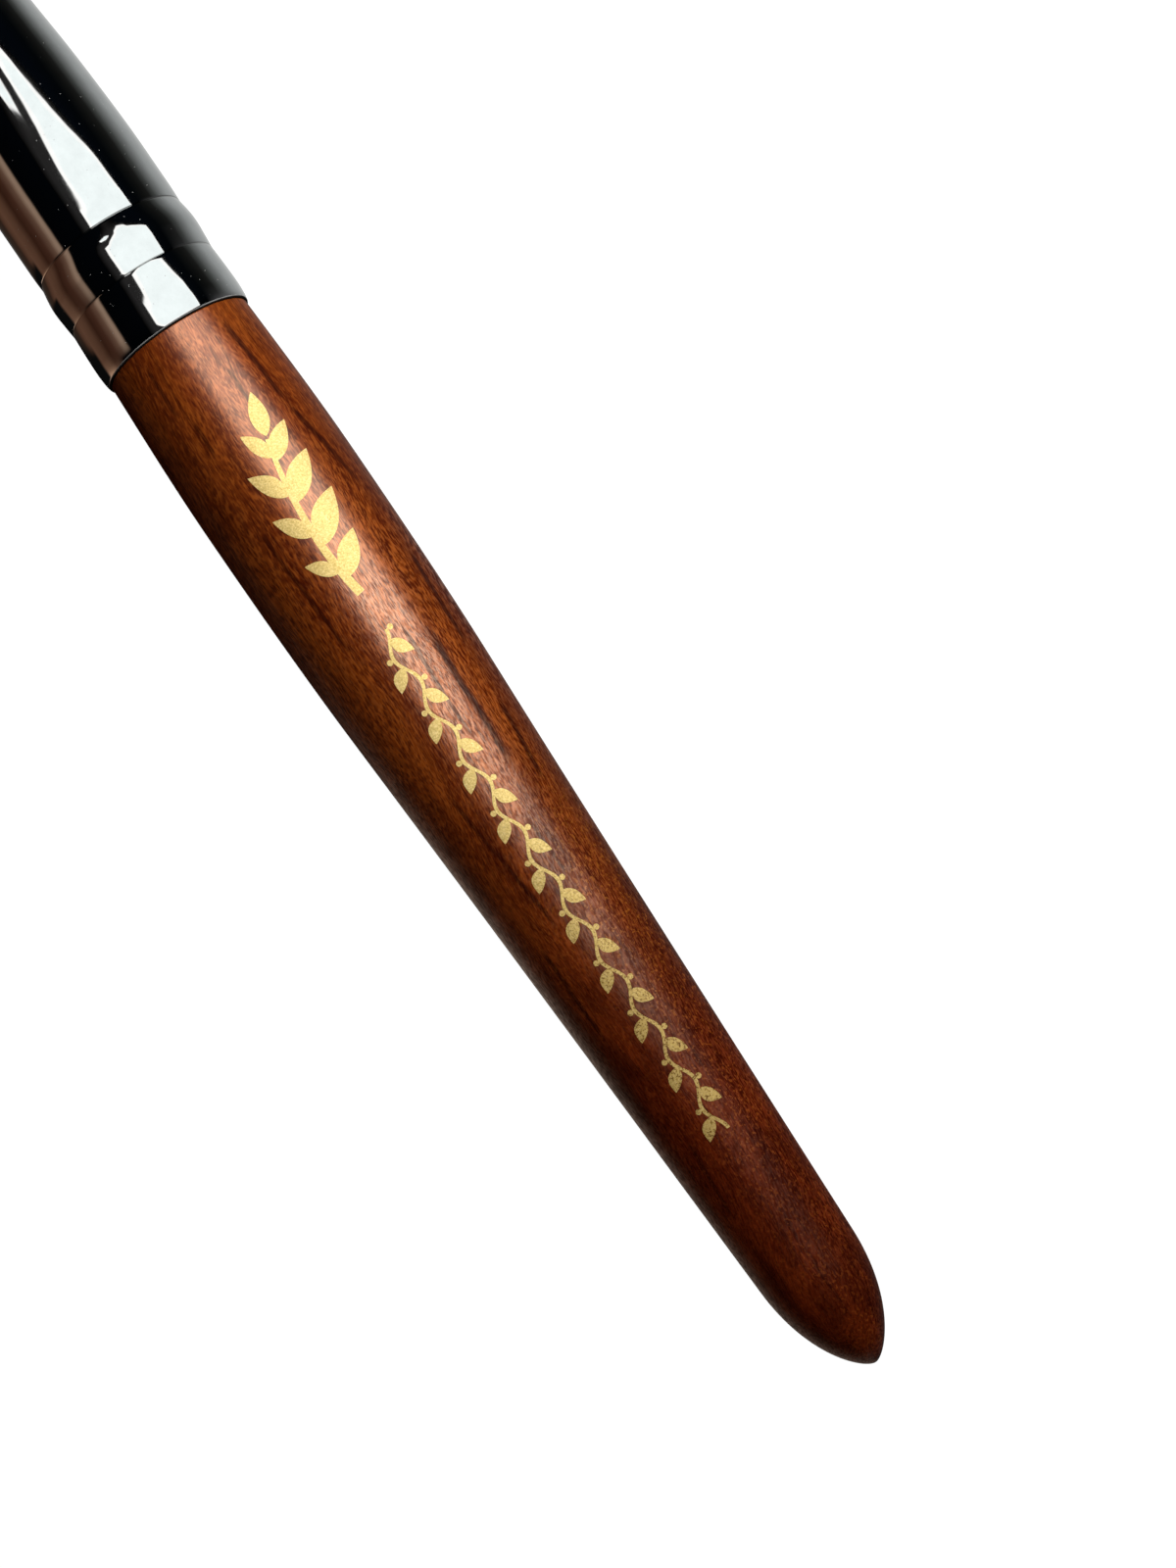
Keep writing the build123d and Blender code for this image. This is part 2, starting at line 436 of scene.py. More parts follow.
def hangLamp(name, place):
    # a flat lamp that faces down and that the camera doesn't see
    setup = studio[name]
    data = bpy.data.lights.new(name, "AREA")
    data.shape = setup["shape"]
    data.size = setup["width"]
    data.size_y = setup["depth"]
    data.energy = setup["power"]
    data.color = setup["colour"]
    lamp = bpy.data.objects.new(name, data)
    lamp.location = place
    lamp.visible_camera = False
    bpy.context.scene.collection.objects.link(lamp)
    return lamp


def hangWindowLamp():
    # the same window again as a bright lamp for the lacquer, which mirrors only a little of it
    x, y = studio["windowLampPlace"]
    lamp = hangLamp("windowLamp", (x, y, axisZ + studio["windowHeight"] - studio["windowLampDrop"]))
    lamp.visible_diffuse = False
    litByWindow = bpy.data.collections.new("litByWindow")
    lamp.light_linking.receiver_collection = litByWindow
    return litByWindow


def hangSoftLamp():
    # over the thick end of the wood, so the light fades towards the tail
    lamp = hangLamp("softLamp", studio["softLampPlace"])
    aim = Matrix.Translation((studio["softLampAim"], 0.0, axisZ)).translation - lamp.location
    lamp.rotation_euler = aim.to_track_quat("-Z", "Y").to_euler()
    lamp.visible_glossy = False


def lightRoom():
    # what the lacquer and the metal mirror beside the window
    world = bpy.data.worlds.new("room")
    world.use_nodes = True
    tree = world.node_tree
    tree.nodes.clear()
    way = addNode(tree, "ShaderNodeTexCoord").outputs["Generated"]
    alongBrush = separate(tree, way)[0]
    share = calc(tree, "MULTIPLY_ADD", turnRound(tree, way), 1 / math.tau, 0.5)
    sideways = colourRamp(tree, share, studio["sideRoom"])
    endways = colourRamp(tree, share, studio["endRoom"])
    room = mixColour(tree, between(tree, alongBrush, *studio["endToSide"]), endways, sideways)
    # low on the far side the collar and the bead's rear mirror something dark
    low = times(tree, between(tree, share, *studio["lowShare"]),
                between(tree, alongBrush, *studio["lowTo"]), between(tree, alongBrush, *studio["lowFrom"]))
    room = mixColour(tree, low, room, studio["lowDark"])
    ray = addNode(tree, "ShaderNodeLightPath").outputs
    dim = times(tree, ray["Is Diffuse Ray"], studio["diffuseDim"])
    dimmed = mixColour(tree, dim, room, (0, 0, 0, 1))
    seen = mixColour(tree, ray["Is Camera Ray"], dimmed, studio["backdrop"])
    addNode(tree, "ShaderNodeOutputWorld", {0: first(tree, "ShaderNodeBackground", {"Color": seen})})
    bpy.context.scene.world = world
    bpy.context.scene.view_settings.view_transform = "Standard"


setCamera()
layFloor()
hangWindow()
litByWindow = hangWindowLamp()
hangSoftLamp()
lightRoom()
print("camera, floor and light are set")


# Handle: turned and lacquered wood

handle = {
    "seamRadius": 6.80,
    "seamSlope": -0.0413,             # slopes are radius per mm towards the hair
    "edge": 0.04,                     # its corner at the seam is broken by this much
    "nearSeam": (0.16, 0.09),         # last two rings of the plain skin, back from the seam
    "swell": (-15.35, 7.249, 0.0),
    "taper": (-36.87, 6.88, 0.0427),
    "domeFoot": (-94.59, 4.767, 0.0346),
    "domePull": 6.95,
    "domeTop": 0.98,
    "tenonRadius": 6.55,
    "tenonEnd": 15.6,
    "tenonRound": 0.05,               # in the corner under the seam
    "tenonRings": 12,
    "noseEnd": 18.8,
    "noseRadius": 4.65,
    "noseDrop": 0.9,
    "segments": 144,
}


def handleSkin():
    # the visible wood from the tip of the dome to the seam, as (reach, radius)
    foot, slope = handle["domeFoot"], handle["seamSlope"]
    pulled = (foot[0] - handle["domePull"], foot[1] - foot[2] * handle["domePull"])
    rings = [(-back, handle["seamRadius"] - slope * back) for back in (*handle["nearSeam"], handle["edge"])]
    points = [(buttReach, 0.0)]
    points += bezier(points[0], (buttReach, handle["domeTop"]), pulled, foot[:2], 34)
    points += through(foot, (handle["taper"], 44), (handle["swell"], 24), ((*rings[0], slope), 20))
    return points + rings[1:]


def handleOutline():
    tenon, end, nose = handle["tenonRadius"], handle["tenonEnd"], handle["noseEnd"]
    ease, rings = handle["tenonRound"], handle["tenonRings"]
    points = handleSkin()
    points += [(0.0, handle["seamRadius"] - handle["edge"]), (0.0, tenon + ease), (ease, tenon)]
    points += [(ease + (end - ease) * i / rings, tenon) for i in range(1, rings + 1)]
    points += rounded((end, tenon), (nose, tenon - handle["noseDrop"]), (nose, handle["noseRadius"]), 8)
    return points + [(nose, handle["noseRadius"] / 2), (nose, 0.0)]


wood = {
    "body": ((0.30, (0.088, 0.0102, 0.0009)), (0.45, (0.154, 0.0250, 0.0020)),
             (0.57, (0.215, 0.0425, 0.0038)), (0.72, (0.290, 0.0640, 0.0070))),
    # the streaks' colour, also used for the painted shade on the -Y side
    "streak": (0.046, 0.0046, 0.0009, 1),
    "line": (0.024, 0.0020, 0.0007, 1),
    "ribbon": (0.33, 0.066, 0.0085, 1),
    "fibre": (0.40, 0.098, 0.0130, 1),
    "pore": (0.048, 0.0040, 0.0009, 1),
    "fleck": (0.52, 0.180, 0.0200, 1),
    # painted shade, multiplied into the wood towards the tail
    "tailStain": (0.56, 0.35, 0.46, 1),
    "driftSize": (0.035, 0.16, 0.16),
    "drift": 5.0,                     # how far the grain wanders round the handle
    "lean": -0.00078,                 # it turns aside by this much times the reach squared
    "poreSize": ((1.3, 6.0, 6.0), (3.0, 1.0, 2.0)),
    "poreSpread": -0.25,              # between small and large pores
    "poreDepth": 0.74,
    "roughness": 0.38,
    "coatRoughness": 0.29,
    "relief": 0.008,                  # of the grain under the lacquer, in mm
    "coatRelief": 0.003,
    "streaks": (                      # stretch, shift, from, to, depth
        ((0.020, 1.50, 1.50), (7.0, 3.0, 1.0), 0.54, 0.64, 0.60),
        ((0.050, 2.60, 2.60), (1.0, 8.0, 5.0), 0.56, 0.66, 0.55),
        ((0.12, 3.60, 3.60), (4.0, 2.0, 9.0), 0.58, 0.70, 0.30)),
    # lines: from reach and degrees round from the top towards -Y, to the same; half width, depth
    "darkLines": (
        (-1.4, 39, -10.3, 44, 1.6, 0.9), (-10.3, 44, -18.7, 56, 1.7, 0.9),
        (-32.2, 34, -46.0, 31, 1.9, 0.95), (-17.5, -25, -30.9, -20, 1.3, 0.8),
        (-7.4, -20, -11.0, -21, 1.1, 0.7), (-5.3, 21, -9.0, 20, 1.0, 0.8),
        (-11.5, 15, -15.1, 14, 0.9, 0.7), (-30.4, 20, -42.1, 16, 1.1, 0.8),
        (-50.0, 16, -55.7, 20, 1.1, 0.8), (-40.2, 55, -48.1, 48, 1.9, 0.9),
        (-44.5, -22, -59.1, -11, 1.3, 0.8), (-59.5, -34, -68.9, -36, 1.5, 0.8),
        (-79.6, -26, -87.4, -36, 1.6, 0.7), (-25.5, 62, -35.4, 57, 1.8, 0.9),
        (-1.6, -26, -6.5, -28, 1.1, 0.7)),
    "lineStray": 6.0,                 # degrees the lines wander in all
    "lineEdge": (0.75, 2.0),          # where a line starts to fade and ends, in half widths
    "noises": {                       # stretch, shift, detail, roughness
        "body": ((0.05, 0.40, 0.40), (0, 0, 0), 4.0, 0.6),
        "ribbon": ((0.42, 0.60, 0.60), (2.0, 9.0, 4.0), 2.0, 0.5),
        "fibre": ((1.0, 6.0, 6.0), (0, 0, 0), 1.0, 0.5),
        "crisp": ((1.5, 7.5, 7.5), (8.0, 6.0, 1.0), 1.0, 0.5),
        "fleck": ((3.3, 4.2, 4.2), (6.0, 2.0, 8.0), 2.0, 0.5),
        "stain": ((0.08, 0.26, 0.26), (9.0, 5.0, 2.0), 3.0, 0.6),
        "lineWander": ((0.16, 0.30, 0.30), (0, 0, 0), 2.0, 0.5),
        "lineBreaks": ((0.45, 2.2, 2.2), (5.0, 1.0, 3.0), 3.0, 0.6),
        "lacquer": ((0.35, 0.9, 0.9), (0, 0, 0), 2.0, 0.5),
    },
    "fades": {                        # from, to, and the value at each
        "ribbon": (0.42, 0.66, 0.0, 0.25),
        "fibreLight": (0.49, 0.63, 0.0, 0.50),
        "fibreDark": (0.36, 0.46, 0.42, 0.0),
        "pore": (0.16, 0.34, 1.0, 0.0),
        "crispLight": (0.52, 0.62, 0.0, 0.55),
        "crispDark": (0.38, 0.46, 0.62, 0.0),
        "fleck": (0.54, 0.66, 0.0, 0.72),
        "stain": (0.47, 0.62, 0.0, 0.5),
        "lineEnds": (0.34, 0.54, 1.0, 0.0),
        "lineBreaks": (0.14, 0.30, 0.0, 1.0),
        "lineThreads": (0.38, 0.60, 1.0, 0.85),
        "coat": (0.0, 0.10, 0.34, 0.50),
        "glint": (0.40, 0.60, -0.17, 0.17),
        "clearByTail": (-72.0, -30.0, 0.60, 1.0),        # these go by the reach
        "clearBySeam": (-20.0, -4.0, 1.0, 0.72),
        "crispBySeam": (-24.0, -12.0, 1.0, 0.4),
        "shadeBySeam": (-16.0, -8.0, 1.0, 0.0),
        "shadeByTail": (-80.0, -66.0, 0.0, 1.0),
        "fleckByReach": (-68.0, -38.0, 1.0, 0.0),
        "stainByReach": (-60.0, -30.0, 1.0, 0.3),
        "tailStain": (-80.0, -38.0, 1.0, 0.0),
        "glintBySeam": (-30.0, -16.0, 1.0, 0.12),
        "coatBySeam": (-20.0, 0.0, 1.0, 0.80),
        "coatByTail": (-84.0, -62.0, 0.60, 1.0),
        "metal": (-78.0, -50.0, 0.02, 0.074),
        "crispBySide": (0.45, 0.70, 0.30, 1.0),          # by radians round from the top towards -Y
        "shadeBySide": (0.80, 1.12, 0.0, 0.42),
        "fleckBySide": (-3.0, 2.5, 1.0, 0.25),           # by y in mm
    },
}


def woodNoise(tree, place, name):
    return patterned(tree, place, wood["noises"][name])


def woodFade(tree, value, name):
    return between(tree, value, *wood["fades"][name])


def darkLines(tree, place, fibre):
    # the long dark lines of the figure, each a bundle of broken threads
    reach = separate(tree, place)[0]
    angle = calc(tree, "DEGREES", turnRound(tree, place))
    stray, (fades, ends) = wood["lineStray"], wood["lineEdge"]
    centred = calc(tree, "SUBTRACT", angle, stray / 2)
    strayed = calc(tree, "MULTIPLY_ADD", woodNoise(tree, place, "lineWander"), stray, centred)
    total = 0.0
    for start, startAngle, end, endAngle, width, depth in wood["darkLines"]:
        along = calc(tree, "DIVIDE", calc(tree, "SUBTRACT", reach, start), end - start)
        middle = calc(tree, "MULTIPLY_ADD", along, endAngle - startAngle, startAngle)
        away = calc(tree, "ABSOLUTE", calc(tree, "SUBTRACT", strayed, middle))
        across = between(tree, away, fades * width, ends * width, depth, 0.0)
        fromMiddle = calc(tree, "ABSOLUTE", calc(tree, "SUBTRACT", along, 0.5))
        total = calc(tree, "MAXIMUM", total, times(tree, across, woodFade(tree, fromMiddle, "lineEnds")))
    broken = woodFade(tree, woodNoise(tree, place, "lineBreaks"), "lineBreaks")
    return times(tree, total, broken, woodFade(tree, fibre, "lineThreads"))


def woodMaterial():
    material, tree, shader = newMaterial("lacqueredWood", (0.30, 0.10, 0.04))
    place = brushSpace(tree)
    reach, side, _ = separate(tree, place)
    turn = turnRound(tree, place)
    # the grain drifts a little round the handle as it runs along it, and its fibre leans aside
    drift = addNode(tree, "ShaderNodeTexNoise", {"Vector": scaled(tree, place, wood["driftSize"]),
                                                 "Scale": 1.0, "Detail": 2.0}).outputs["Color"]
    centred = vectorCalc(tree, "SUBTRACT", drift, (0.5, 0.5, 0.5))
    shift = vectorCalc(tree, "MULTIPLY", centred, (0.0, wood["drift"], wood["drift"]))
    grain = vectorCalc(tree, "ADD", place, shift)
    aside = combine(tree, 0.0, times(tree, reach, reach, wood["lean"]), 0.0)
    leaned = vectorCalc(tree, "ADD", grain, aside)

    colour = colourRamp(tree, woodNoise(tree, grain, "body"), wood["body"])
    # broken darker streaks, long and short
    for stretch, moved, low, high, depth in wood["streaks"]:
        streak = patterned(tree, grain, (stretch, moved, 3.0, 0.6))
        colour = mixColour(tree, between(tree, streak, low, high, 0.0, depth), colour, wood["streak"])
    # ribbon figure: soft light patches across the grain
    ribbon = woodFade(tree, woodNoise(tree, grain, "ribbon"), "ribbon")
    # fibre: fine light and dark dashes, then the pores as crisper dark ones, all fainter at both ends
    clear = times(tree, woodFade(tree, reach, "clearByTail"), woodFade(tree, reach, "clearBySeam"))
    fibre = woodNoise(tree, leaned, "fibre")
    light = times(tree, woodFade(tree, fibre, "fibreLight"), clear)
    dark = times(tree, woodFade(tree, fibre, "fibreDark"), clear)
    pore = cells(tree, scaled(tree, leaned, *wood["poreSize"]))
    poreSize = separate(tree, pore["Color"])[0]
    pored = calc(tree, "MULTIPLY_ADD", poreSize, wood["poreSpread"], pore["Distance"])
    dash = times(tree, woodFade(tree, pored, "pore"), clear)
    # crisper dashes on the -Y side, where painted shade also darkens the wood
    crisp = woodNoise(tree, leaned, "crisp")
    here = times(tree, woodFade(tree, turn, "crispBySide"), woodFade(tree, reach, "crispBySeam"))
    paintedSideShade = times(tree, woodFade(tree, reach, "shadeBySeam"), woodFade(tree, reach, "shadeByTail"),
                   woodFade(tree, turn, "shadeBySide"))
    # short flecks towards the tail, and the stain that lies unevenly there
    flecked = times(tree, woodFade(tree, reach, "fleckByReach"), woodFade(tree, side, "fleckBySide"))
    fleck = woodFade(tree, woodNoise(tree, place, "fleck"), "fleck")
    stain = woodFade(tree, woodNoise(tree, grain, "stain"), "stain")
    layers = ((ribbon, "ribbon"), (light, "fibre"), (dark, "pore"),
              (times(tree, dash, wood["poreDepth"]), "pore"),
              (times(tree, woodFade(tree, crisp, "crispLight"), here), "fibre"),
              (times(tree, woodFade(tree, crisp, "crispDark"), here), "pore"),
              (paintedSideShade, "streak"), (darkLines(tree, place, fibre), "line"),
              (times(tree, fleck, flecked), "fleck"),
              (times(tree, stain, woodFade(tree, reach, "stainByReach")), "streak"))
    for factor, tint in layers:
        colour = mixColour(tree, factor, colour, wood[tint])
    # painted shade: the wood is made darker towards the tail
    colour = mixColour(tree, woodFade(tree, reach, "tailStain"), colour, wood["tailStain"], "MULTIPLY")

    # the dark grain is open and shines less than the wood between
    bright = first(tree, "ShaderNodeRGBToBW", {0: colour})
    glint = times(tree, woodFade(tree, crisp, "glint"), woodFade(tree, reach, "glintBySeam"))
    coat = calc(tree, "ADD", woodFade(tree, bright, "coat"), glint, clamp=True)
    coat = times(tree, coat, woodFade(tree, reach, "coatBySeam"), woodFade(tree, reach, "coatByTail"))
    relief = calc(tree, "SUBTRACT", fibre, dash)
    lacquer = calc(tree, "MULTIPLY_ADD", relief, 0.9, woodNoise(tree, place, "lacquer"))
    setShader(tree, shader, Base_Color=colour, Metallic=woodFade(tree, reach, "metal"),
              Roughness=wood["roughness"], Specular_IOR_Level=0.0, Coat_Weight=coat,
              Coat_Roughness=wood["coatRoughness"], Coat_IOR=1.5,
              Normal=bump(tree, relief, wood["relief"], 0.5),
              Coat_Normal=bump(tree, lacquer, wood["coatRelief"], 0.5))
    return material


lathe = latheTree()
lacquered = woodMaterial()
handlePiece = grow(lineObject("turnedHandle", handleOutline()), lathe, Segments=handle["segments"],
                   Material=lacquered)
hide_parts("handle")
litByWindow.objects.link(handlePiece)
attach(handlePiece, "root")
print("handle is turned")


# Ferrule: rolled and plated tube

ferrule = {
    "wall": 0.40,
    "faceRadius": 6.80,               # where the rolled rim meets the wood
    "rim": (0.12, 6.995, 0.30),
    "rimEase": 0.03,
    "roll": (0.84, 7.112, 0.085),
    "collar": (1.67, 7.154, 0.0),
    # creases: reach, radius, half width, depth, then how high and steep the sides into and out of it are
    "rearCrease": (5.48, 7.014, 0.05, 0.006, (0.005, -0.052), (0.009, 0.125)),
    "beadRear": (7.35, 7.188, 0.085),
    "bead": (8.15, 7.218, 0.0),
    "beadFront": (9.25, 7.130, -0.145),
    "frontCrease": (10.24, 6.968, 0.09, 0.006, (0.016, -0.165), (0.024, 0.062)),
    "barrel": (12.10, 7.050, 0.0),
    "barrelEnd": (15.60, 7.050, 0.0),
    "neck": (23.90, 6.770, -0.050),
    "bend": (28.00, 6.500, -0.0833),
    "coneSlope": -0.0833,
    "mouthRadius": 5.0,
    "lipBack": 0.14,                  # where the lip starts to round over
    "lipRise": 0.012,
    "lipEase": 0.02,
    "footReach": 0.06,                # inside the rim
    "footDrop": 0.12,
    "segments": 160,
    "waveSize": (0.22, 0.34, 0.34),
    "scratchSize": ((0.35, 5.0, 5.0), (3.0, 1.0, 2.0)),     # stretch, shift
    "scratchFade": (0.0, 0.05, 1.0, 0.0),
    "scratchPatch": (0.55, 0.65),     # of a noise, where the scratches lie
    "scratchDepth": 0.05,             # beside the waves
    "relief": 0.010,
    "plating": ((0.3, (0.86, 0.87, 0.88)), (0.7, (0.93, 0.94, 0.95))),
    # painted shade in the creases
    "creaseShadeTone": (0.30, 0.28, 0.26, 1),
    "creaseFade": (0.04, 0.16, 1.0, 0.0),
    "creaseDepth": 0.35,
    "dustTone": (0.34, 0.32, 0.30, 1),
    "dustCells": 2.4,                 # per mm
    "dustSize": (0.05, 0.11, 1.0, 0.0),
    "dustChance": 0.72,               # cells of the dust pattern under this stay clean
    "dustDepth": 0.6,
    # painted shadow where the rim's roll meets the wood
    "rimShadowTone": (0.012, 0.010, 0.009, 1),
    "rimShadowFade": (0.08, 0.22, 1.0, 0.0),
    "roughness": 0.045,
    "scratchRoughness": 0.20,
    "dustRoughness": 0.4,
}


def groove(name):
    # a crease as three stations: into it, its bottom and out of it
    reach, radius, half, depth, (riseIn, slopeIn), (riseOut, slopeOut) = ferrule[name]
    return ((reach - half, radius + riseIn, slopeIn), (reach, radius - depth, 0.0),
            (reach + half, radius + riseOut, slopeOut))


def ferruleOutline():
    face, wall, rim = ferrule["faceRadius"], ferrule["wall"], ferrule["rim"]
    intoRear, rear, outOfRear = groove("rearCrease")
    intoFront, front, outOfFront = groove("frontCrease")
    lip = (mouthReach - ferrule["lipBack"], ferrule["mouthRadius"] + ferrule["lipRise"])
    outer = [(0.0, face)]
    outer += rounded((0.0, face), (0.0, rim[1] - ferrule["rimEase"]), rim[:2], 6)
    outer += through(rim, (ferrule["roll"], 8), (ferrule["collar"], 8), (intoRear, 16), (rear, 4),
                     (outOfRear, 4), (ferrule["beadRear"], 10), (ferrule["bead"], 6),
                     (ferrule["beadFront"], 8), (intoFront, 10), (front, 4), (outOfFront, 4),
                     (ferrule["barrel"], 10), (ferrule["barrelEnd"], 6), (ferrule["neck"], 18),
                     (ferrule["bend"], 12), ((*lip, ferrule["coneSlope"]), 20))
    inner = [(reach, radius - wall) for reach, radius in reversed(outer) if rim[0] < reach < lip[0]]
    innerLip = (lip[0], lip[1] - wall)
    middle = (mouthReach, lip[1] - wall / 2)
    points = outer + rounded(lip, (mouthReach, lip[1] - ferrule["lipEase"]), middle, 5)
    points += rounded(middle, (mouthReach, innerLip[1]), innerLip, 5) + inner
    foot = (0.0, face - ferrule["footDrop"])
    return points + [(rim[0], rim[1] - wall), (ferrule["footReach"], rim[1] - wall), foot, outer[0]]


def platedMaterial():
    material, tree, shader = newMaterial("platedMetal", (0.45, 0.45, 0.45))
    place = brushSpace(tree)
    reach = separate(tree, place)[0]
    # faint waves from rolling, and patches of hairline scratches
    wave = noise(tree, scaled(tree, place, ferrule["waveSize"]))
    scratch = cells(tree, scaled(tree, place, *ferrule["scratchSize"]))
    mark = times(tree, between(tree, scratch["Distance"], *ferrule["scratchFade"]),
                 between(tree, noise(tree, place, 0.5), *ferrule["scratchPatch"]))
    # specks of dust
    dust = cells(tree, place, ferrule["dustCells"])
    chance = separate(tree, dust["Color"])[1]
    speck = times(tree, between(tree, dust["Distance"], *ferrule["dustSize"]),
                  calc(tree, "GREATER_THAN", chance, ferrule["dustChance"]))
    # painted shade dulls the plating in the creases, and a darker painted shadow lies where the rim's roll
    # meets the wood
    creases = []
    for name in ("rearCrease", "frontCrease"):
        away = calc(tree, "ABSOLUTE", calc(tree, "SUBTRACT", reach, ferrule[name][0]))
        creases.append(between(tree, away, *ferrule["creaseFade"]))
    crease = times(tree, calc(tree, "ADD", *creases), ferrule["creaseDepth"])
    paintedRimShadow = between(tree, reach, *ferrule["rimShadowFade"])
    tone = colourRamp(tree, noise(tree, place, 0.8, 3.0, 0.6), ferrule["plating"])
    tone = mixColour(tree, crease, tone, ferrule["creaseShadeTone"])
    tone = mixColour(tree, times(tree, speck, ferrule["dustDepth"]), tone, ferrule["dustTone"])
    tone = mixColour(tree, paintedRimShadow, tone, ferrule["rimShadowTone"])
    dusty = calc(tree, "MULTIPLY_ADD", speck, ferrule["dustRoughness"], ferrule["roughness"])
    rough = calc(tree, "ADD", times(tree, mark, ferrule["scratchRoughness"]), dusty)
    metal = times(tree, calc(tree, "MULTIPLY_ADD", speck, -0.5, 1.0), calc(tree, "SUBTRACT", 1.0, paintedRimShadow))
    height = calc(tree, "SUBTRACT", wave, times(tree, mark, ferrule["scratchDepth"]))
    setShader(tree, shader, Base_Color=tone, Metallic=metal, Roughness=rough, Specular_IOR_Level=0.0,
              Normal=bump(tree, height, ferrule["relief"]))
    return material


plated = platedMaterial()
ferrulePiece = grow(lineObject("rolledFerrule", ferruleOutline()), lathe, Segments=ferrule["segments"],
                    Material=plated)
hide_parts("ferrule")
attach(ferrulePiece, "root")
print("ferrule is rolled")


# Gold foil pressed on the wood: a leaf sprig and a running vine

foil = {
    "lift": -0.012,                   # mm from the wood's surface to the foil's underside
    "thickness": 0.034,
    "skinStart": -92.0,               # the skin's radii are sampled from here to the seam
    "skinStep": 0.5,
    "leaf": (2.15, 1.15),             # length and width of the vine's leaves
    "vine": {
        "Leaves": 20,
        "Pitch": 2.5,
        "Start": -30.6,               # reach of the first leaf
        "Side": 0.65,                 # mm round the wood from its top, towards -Y
        "Wave": 0.46,
        "Stem": 0.32,                 # width
        "Berry": 0.26,                # radius
        "BerryOut": 0.40,             # from the crest of the wave
        "LeafBack": -0.36,            # in pitches
        "LeafOut": 0.22,
        "LeafTurn": math.radians(-36),
    },
    "sprigStem": ((-27.0, 1.1), (-22.5, 0.2), (-17.0, 0.6), (-12.2, 1.9)),
    "sprigSteps": 40,
    "sprigWidth": (0.80, 0.45),       # at the foot, and how much less at the end
    "sprigLeaves": (                  # place along the stem, side, angle, length, width
        (0.10, 1, 46, 4.2, 1.9), (0.17, -1, 40, 2.9, 1.25), (0.34, 1, 42, 5.2, 2.3),
        (0.42, -1, 37, 3.5, 1.5), (0.60, 1, 37, 4.8, 2.1), (0.67, -1, 40, 3.7, 1.6),
        (0.85, 1, 31, 3.7, 1.6), (0.88, -1, 35, 3.1, 1.3), (1.0, 0, 0, 4.0, 1.6)),
    "leafGap": 0.35,                  # from the stem's middle to a leaf
    "endGap": 0.25,
    "tones": ((0.34, (0.50, 0.35, 0.10)), (0.52, (0.68, 0.51, 0.19)), (0.68, (0.82, 0.65, 0.31))),
    "toneNoise": (7.0, 3.0, 0.6),     # noises: scale, detail, roughness
    "gritNoise": (9.0, 3.0, 0.7),
    "holeNoise": (5.0, 3.0, 0.7),
    "patchScale": 0.9,
    "wornTone": (0.30, 0.15, 0.03, 1),
    "wornGrit": (0.60, 0.74),
    "wornPatch": (0.40, 0.62, 0.25, 1.0),
    "wornDepth": 0.7,
    # painted shade that darkens the foil towards the tail
    "tailShadeTone": (0.36, 0.23, 0.060, 1),
    "tailWearAndShade": (-74.0, -42.0, 0.62, 0.0),     # worn holes and painted shade, more towards the tail
    "holeTone": (0.13, 0.055, 0.012, 1),
    "holeFade": (0.50, 0.61),
    "holes": (1.35, 0.12),            # share of the holes by that fade towards the tail, and anywhere
    "metallic": 0.056,
    "specular": 0.07,
    "roughness": (0.35, 0.75, 0.38, 0.62),
    "relief": 0.012,
}


def evenly(points, start, step, count):
    # the outline's radius at evenly spaced reaches
    even = []
    for i in range(count):
        reach = start + i * step
        for (a, low), (b, high) in zip(points, points[1:]):
            if a <= reach <= b and b > a:
                break
        even.append((reach, low + (high - low) * min(max((reach - a) / (b - a), 0), 1)))
    return even


def radiusAt(tree, outline, reach, start, step):
    # reads an evenly spaced outline at any reach, as metres
    place = calc(tree, "DIVIDE", calc(tree, "SUBTRACT", reach, start), step)
    index = calc(tree, "FLOOR", place)
    low = pointOf(tree, outline, index)[2]
    high = pointOf(tree, outline, calc(tree, "ADD", index, 1))[2]
    return partWay(tree, calc(tree, "FRACT", place), low, high)


def leafShape(length, width, steps=10, across=4, bend=0.12):
    # a pointed leaf lying along +X from the origin, as rows of points
    rows = []
    for i in range(steps + 1):
        t = i / steps
        half = width / 2 * (math.sin(math.pi * t ** 0.85) ** 0.9 if 0 < t < 1 else 0.0)
        middle = bend * length * math.sin(math.pi * t) * 0.5
        rows.append([(t * length, middle + half * (2 * j / across - 1)) for j in range(across + 1)])
    return rows


def ribbonShape(spine, widths, across=2):
    # a strip along the spine, as rows of points
    rows = []
    for i, (x, y) in enumerate(spine):
        before, after = spine[max(i - 1, 0)], spine[min(i + 1, len(spine) - 1)]
        dx, dy = after[0] - before[0], after[1] - before[1]
        length = math.hypot(dx, dy)
        sides = [widths[i] / 2 * (2 * j / across - 1) for j in range(across + 1)]
        rows.append([(x - dy / length * side, y + dx / length * side) for side in sides])
    return rows


def turned(rows, angle, place):
    c, s = math.cos(angle), math.sin(angle)
    return [[(place[0] + x * c - y * s, place[1] + x * s + y * c) for x, y in row] for row in rows]


def flatObject(name, shapes):
    # rows of (reach, side) points in mm, each shape a strip of quads
    places, faces = [], []
    for rows in shapes:
        base, wide = len(places), len(rows[0])
        places += [(x, y, 0) for row in rows for x, y in row]
        for i in range(len(rows) - 1):
            for j in range(wide - 1):
                a = base + i * wide + j
                faces.append((a, a + wide, a + wide + 1, a + 1))
    mesh = bpy.data.meshes.new(name)
    mesh.from_pydata(places, [], faces)
    work = bmesh.new()
    work.from_mesh(mesh)
    bmesh.ops.remove_doubles(work, verts=work.verts, dist=1e-5)
    bmesh.ops.recalc_face_normals(work, faces=work.faces)
    for face in work.faces:
        if face.normal.z < 0:
            face.normal_flip()
    work.to_mesh(mesh)
    work.free()
    made = bpy.data.objects.new(name, mesh)
    bpy.context.scene.collection.objects.link(made)
    return made


